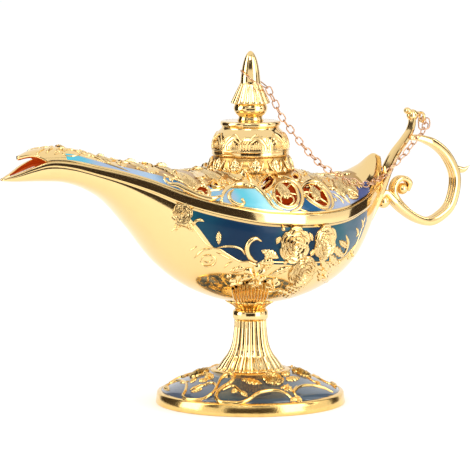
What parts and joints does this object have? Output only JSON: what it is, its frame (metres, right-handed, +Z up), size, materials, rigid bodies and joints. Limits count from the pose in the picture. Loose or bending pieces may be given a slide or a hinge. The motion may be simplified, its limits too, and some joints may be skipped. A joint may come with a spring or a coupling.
{
  "type": "ornamental oil lamp",
  "caption": "Ornamental genie-style oil lamp: pointed enamelled bowl with spout on a fluted foot, pierced cover, lift-out lid on a fine chain and a scrolled handle.",
  "frame": {"origin": "centre of the foot on the floor", "axes": "+Z up along the lid's axis; +X from the lid towards the handle, so the spout points along -X; +Y to the back"},
  "size_m": [0.22, 0.0798, 0.1482],
  "materials": {
    "gold": "polished",
    "deep_gold": "polished",
    "enamel": "gloss",
    "foot_enamel": "gloss",
    "chain_gold": "polished",
    "steel": "satin"
  },
  "bodies": {
    "lamp_base": {"foot": "deep_gold", "foot_enamel": "foot_enamel", "tie_screw": "steel", "screw_washer": "steel", "stem": "gold", "neck_ring": "gold", "calyx": "deep_gold", "bowl": "gold", "bowl_enamel_front": "enamel", "bowl_enamel_back": "enamel", "cover": "gold", "cover_enamel_front": "enamel", "cover_enamel_back": "enamel", "collar": "gold", "handle": "gold", "handle_rivets": "deep_gold", "chain": "chain_gold"},
    "finial_tether": {"chain_loop": "chain_gold"},
    "lid_group": {"lid": "gold", "lid_flange": "gold", "lid_disc": "gold", "finial": "gold", "finial_screw": "steel"},
    "spare_ring": {"chain_ring": "chain_gold"}
  },
  "joints": [
    {"name": "lid_lift", "type": "slide", "parent": "lamp_base", "child": "finial_tether", "axis": [0, 0, 1], "range_m": [0, 0.035], "deforming": ["chain"]},
    {"name": "lid_turn", "type": "hinge", "parent": "finial_tether", "child": "lid_group", "pos_m": [0, 0, 0.10469], "axis": [0, 0, 1], "continuous": true},
    {"name": "ring_swing", "type": "hinge", "parent": "lamp_base", "child": "spare_ring", "pos_m": [0.0828, 0.0006, 0.1168], "axis": [1, 0, 0], "range_deg": [0, 75]}
  ]
}
